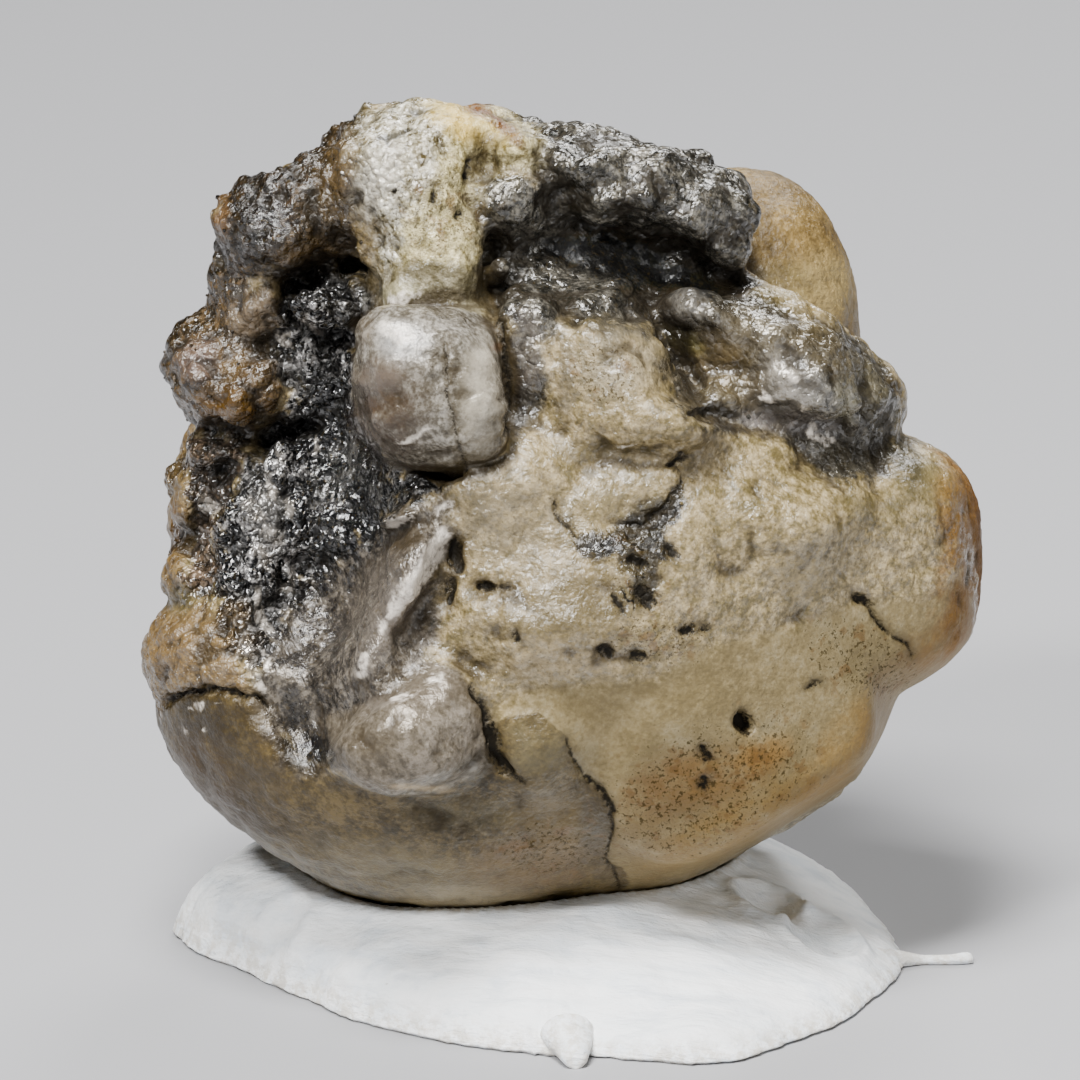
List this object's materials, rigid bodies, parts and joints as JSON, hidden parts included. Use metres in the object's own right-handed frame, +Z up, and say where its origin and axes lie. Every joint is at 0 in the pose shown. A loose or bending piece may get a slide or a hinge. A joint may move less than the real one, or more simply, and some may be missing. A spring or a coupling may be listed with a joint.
{
  "type": "phenakite crystal",
  "caption": "Rounded, etched phenakite crystal cluster with a lumpy, dark-crusted front, standing in a pressed pad of white mounting putty.",
  "frame": {"origin": "middle of the specimen's footprint, on the surface that the putty pad lies on", "axes": "+Z up, -Y towards the lumpy front, +X to the right seen from the front"},
  "size_m": [0.0168, 0.0156, 0.0176],
  "materials": {
    "phenakite": "waxy to satin worn crystal, khaki and grey, with a dark lustrous crust in the hollows and ochre stains",
    "putty": "matte white putty, faintly blue, pressed and smeared"
  },
  "bodies": {
    "root": {"phenakite_crystal": "phenakite", "mounting_putty": "putty"}
  },
  "joints": []
}
